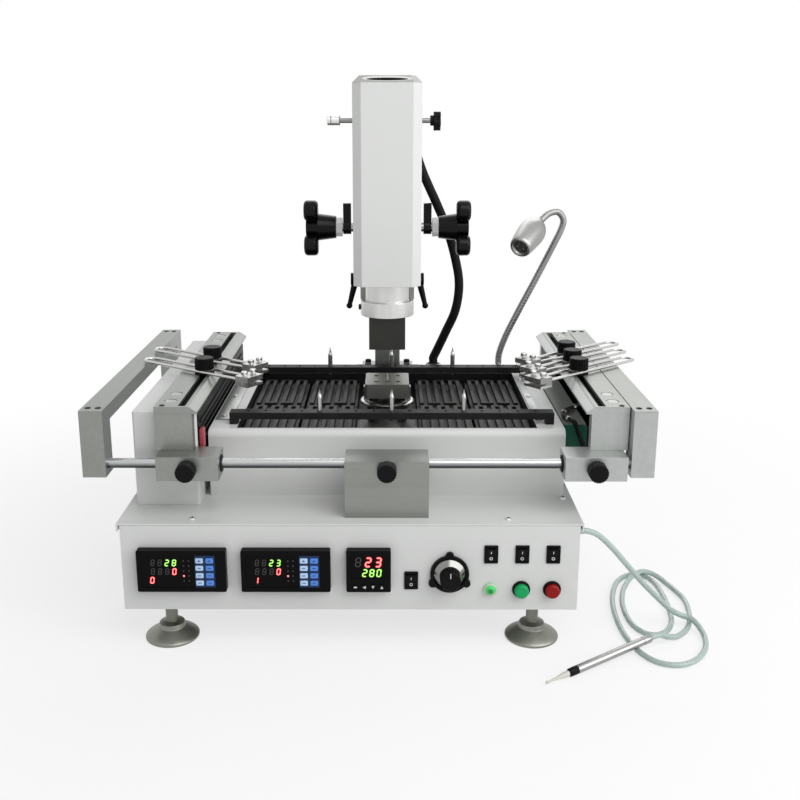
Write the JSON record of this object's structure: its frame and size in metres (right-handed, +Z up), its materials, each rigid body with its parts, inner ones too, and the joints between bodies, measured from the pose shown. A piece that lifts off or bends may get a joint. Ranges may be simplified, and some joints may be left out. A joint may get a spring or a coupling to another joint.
{
  "type": "bga rework station",
  "caption": "Bench rework station: hot-air head on a rack lift over an infrared preheater, sliding board table with jaws and clamp fingers, front control panel, vacuum pen.",
  "frame": {"origin": "on the bench, under the middle of the machine's box without its vacuum tube and pen", "axes": "+X to the user's right, +Y from the front panel to the back, +Z up"},
  "size_m": [0.6921, 0.5507, 0.6152],
  "materials": {
    "white_paint": "fine powder coat",
    "bare_aluminium": "machined and anodised",
    "bright_steel": "ground",
    "chrome": "polished",
    "black_steel": "satin black",
    "nozzle_steel": "heat-darkened",
    "heater_ceramic": "matt dark ceramic",
    "black_plastic": "moulded",
    "gloss_black": "gloss",
    "green_plastic": "gloss",
    "red_plastic": "gloss",
    "hose_rubber": "matt",
    "clear_tube": "soft translucent"
  },
  "bodies": {
    "base": {"cabinet": "white_paint", "cabinet_lid": "white_paint", "levelling_feet": "bright_steel", "mains_inlet": "black_plastic", "blower_and_pump": "black_steel", "panel_meters": "gloss_black", "panel_bezels": "black_plastic", "cooling_fan": "green_plastic", "pilot_lamp": "green_plastic", "preheat_housing": "white_paint", "heater_tiles": "heater_ceramic", "side_cover": "white_paint", "lower_air_tube": "bright_steel", "lower_nozzle": "nozzle_steel", "centre_blocks": "bare_aluminium", "column": "bare_aluminium", "arm": "bare_aluminium", "air_hose": "hose_rubber", "work_lamp": "bright_steel", "vacuum_tube": "clear_tube", "vacuum_pen": "bright_steel"},
    "front_support": {"rail_front": "black_steel", "pins_front": "bright_steel"},
    "rear_support": {"rail_rear": "black_steel", "pins_rear": "bright_steel"},
    "carriage": {"guide_rods": "bright_steel", "end_frames": "bare_aluminium"},
    "left_jaw": {"jaw_left": "bare_aluminium"},
    "right_jaw": {"jaw_right": "bare_aluminium"},
    "centre_lock": {"centre_knob": "black_plastic"},
    "left_lock": {"knob_left": "black_plastic"},
    "right_lock": {"knob_right": "black_plastic"},
    "head": {"head_housing": "white_paint", "head_rail": "bright_steel", "head_cap": "bright_steel", "head_collar": "bare_aluminium"},
    "nozzle": {"hot_air_nozzle": "nozzle_steel"},
    "head_screw": {"cross_screw": "bright_steel", "star_knob": "black_plastic"},
    "lift_pinion": {"pinion_shaft": "bright_steel", "pinion_handles": "gloss_black"},
    "levers": {"clamp_levers": "black_plastic"},
    "dial": {"airflow_skirt": "chrome", "airflow_knob": "black_plastic"},
    "start_cap": {"start_button": "green_plastic"},
    "stop_cap": {"stop_button": "red_plastic"},
    "panel_rocker": {"rocker_panel": "black_plastic"},
    "vacuum_rocker": {"rocker_vacuum": "black_plastic"},
    "cooling_rocker": {"rocker_cooling": "black_plastic"},
    "light_rocker": {"rocker_light": "black_plastic"},
    "left_stud_1": {"stud_left_1": "black_plastic"},
    "left_finger_1": {"finger_left_1": "bright_steel"},
    "left_stud_2": {"stud_left_2": "black_plastic"},
    "left_finger_2": {"finger_left_2": "bright_steel"},
    "right_stud_1": {"stud_right_1": "black_plastic"},
    "right_finger_1": {"finger_right_1": "bright_steel"},
    "right_stud_2": {"stud_right_2": "black_plastic"},
    "right_finger_2": {"finger_right_2": "bright_steel"},
    "right_stud_3": {"stud_right_3": "black_plastic"},
    "right_finger_3": {"finger_right_3": "bright_steel"}
  },
  "joints": [
    {"name": "head_lift", "type": "slide", "parent": "base", "child": "head", "axis": [0, 0, 1], "range_m": [-0.027, 0.04], "deforming": ["air_hose"]},
    {"name": "pinion_turn", "type": "hinge", "parent": "base", "child": "lift_pinion", "pos_m": [0.00726, 0.06066, 0.4332], "axis": [1, 0, 0], "range_deg": [-210, 145]},
    {"name": "nozzle_turn", "type": "hinge", "parent": "head", "child": "nozzle", "pos_m": [0.00726, -0.0095, 0.34], "axis": [0, 0, 1], "continuous": true},
    {"name": "head_screw_turn", "type": "hinge", "parent": "head", "child": "head_screw", "pos_m": [0.00726, -0.0095, 0.5652], "axis": [1, 0, 0], "continuous": true},
    {"name": "clamp_lever_turn", "type": "hinge", "parent": "base", "child": "levers", "pos_m": [0.00726, 0.06866, 0.3652], "axis": [1, 0, 0], "range_deg": [-55, 55]},
    {"name": "table_slide", "type": "slide", "parent": "base", "child": "carriage", "axis": [1, 0, 0], "range_m": [-0.02, 0.02]},
    {"name": "left_jaw_slide", "type": "slide", "parent": "carriage", "child": "left_jaw", "axis": [1, 0, 0], "range_m": [-0.05, 0.036]},
    {"name": "right_jaw_slide", "type": "slide", "parent": "carriage", "child": "right_jaw", "axis": [1, 0, 0], "range_m": [-0.022, 0]},
    {"name": "centre_lock_turn", "type": "hinge", "parent": "base", "child": "centre_lock", "pos_m": [0.00726, -0.21, 0.2035], "axis": [0, 1, 0], "continuous": true},
    {"name": "left_lock_turn", "type": "hinge", "parent": "left_jaw", "child": "left_lock", "pos_m": [-0.20724, -0.21, 0.2035], "axis": [0, 1, 0], "continuous": true},
    {"name": "right_lock_turn", "type": "hinge", "parent": "right_jaw", "child": "right_lock", "pos_m": [0.23226, -0.21, 0.2035], "axis": [0, 1, 0], "continuous": true},
    {"name": "front_rail_slide", "type": "slide", "parent": "base", "child": "front_support", "axis": [0, 1, 0], "range_m": [0, 0.06]},
    {"name": "rear_rail_slide", "type": "slide", "parent": "base", "child": "rear_support", "axis": [0, 1, 0], "range_m": [-0.07, 0]},
    {"name": "airflow_turn", "type": "hinge", "parent": "base", "child": "dial", "pos_m": [0.07526, -0.2275, 0.091], "axis": [0, 1, 0], "range_deg": [0, 300]},
    {"name": "start_press", "type": "slide", "parent": "base", "child": "start_cap", "axis": [0, 1, 0], "range_m": [0, 0.0035], "stiffness_N_per_m": 400, "springref_m": -0.002},
    {"name": "stop_press", "type": "slide", "parent": "base", "child": "stop_cap", "axis": [0, 1, 0], "range_m": [0, 0.0035], "stiffness_N_per_m": 400, "springref_m": -0.002},
    {"name": "panel_rocker_tilt", "type": "hinge", "parent": "base", "child": "panel_rocker", "pos_m": [0.03376, -0.2245, 0.083], "axis": [1, 0, 0], "range_deg": [-16, 0]},
    {"name": "vacuum_rocker_tilt", "type": "hinge", "parent": "base", "child": "vacuum_rocker", "pos_m": [0.11976, -0.2245, 0.1135], "axis": [1, 0, 0], "range_deg": [-16, 0]},
    {"name": "cooling_rocker_tilt", "type": "hinge", "parent": "base", "child": "cooling_rocker", "pos_m": [0.15326, -0.2245, 0.1135], "axis": [1, 0, 0], "range_deg": [-16, 0]},
    {"name": "light_rocker_tilt", "type": "hinge", "parent": "base", "child": "light_rocker", "pos_m": [0.18676, -0.2245, 0.1135], "axis": [1, 0, 0], "range_deg": [-16, 0]},
    {"name": "left_stud_1_slide", "type": "slide", "parent": "left_jaw", "child": "left_stud_1", "axis": [0, 1, 0], "range_m": [-0.03, 0.012]},
    {"name": "left_finger_1_turn", "type": "hinge", "parent": "left_stud_1", "child": "left_finger_1", "pos_m": [-0.21574, -0.0375, 0.27], "axis": [0, 0, 1], "range_deg": [-9, 9]},
    {"name": "left_stud_2_slide", "type": "slide", "parent": "left_jaw", "child": "left_stud_2", "axis": [0, 1, 0], "range_m": [-0.012, 0.03]},
    {"name": "left_finger_2_turn", "type": "hinge", "parent": "left_stud_2", "child": "left_finger_2", "pos_m": [-0.21574, 0.0215, 0.27], "axis": [0, 0, 1], "range_deg": [-9, 9]},
    {"name": "right_stud_1_slide", "type": "slide", "parent": "right_jaw", "child": "right_stud_1", "axis": [0, 1, 0], "range_m": [-0.03, 0.005]},
    {"name": "right_finger_1_turn", "type": "hinge", "parent": "right_stud_1", "child": "right_finger_1", "pos_m": [0.24076, -0.0375, 0.27], "axis": [0, 0, 1], "range_deg": [-4, 4]},
    {"name": "right_stud_2_slide", "type": "slide", "parent": "right_jaw", "child": "right_stud_2", "axis": [0, 1, 0], "range_m": [-0.005, 0.005]},
    {"name": "right_finger_2_turn", "type": "hinge", "parent": "right_stud_2", "child": "right_finger_2", "pos_m": [0.24076, 0.0075, 0.27], "axis": [0, 0, 1], "range_deg": [-4, 4]},
    {"name": "right_stud_3_slide", "type": "slide", "parent": "right_jaw", "child": "right_stud_3", "axis": [0, 1, 0], "range_m": [-0.005, 0.03]},
    {"name": "right_finger_3_turn", "type": "hinge", "parent": "right_stud_3", "child": "right_finger_3", "pos_m": [0.24076, 0.0525, 0.27], "axis": [0, 0, 1], "range_deg": [-4, 4]}
  ],
  "couplings": [
    {"joint": "pinion_turn", "follows": "head_lift", "rad_per_m": -88.889}
  ]
}
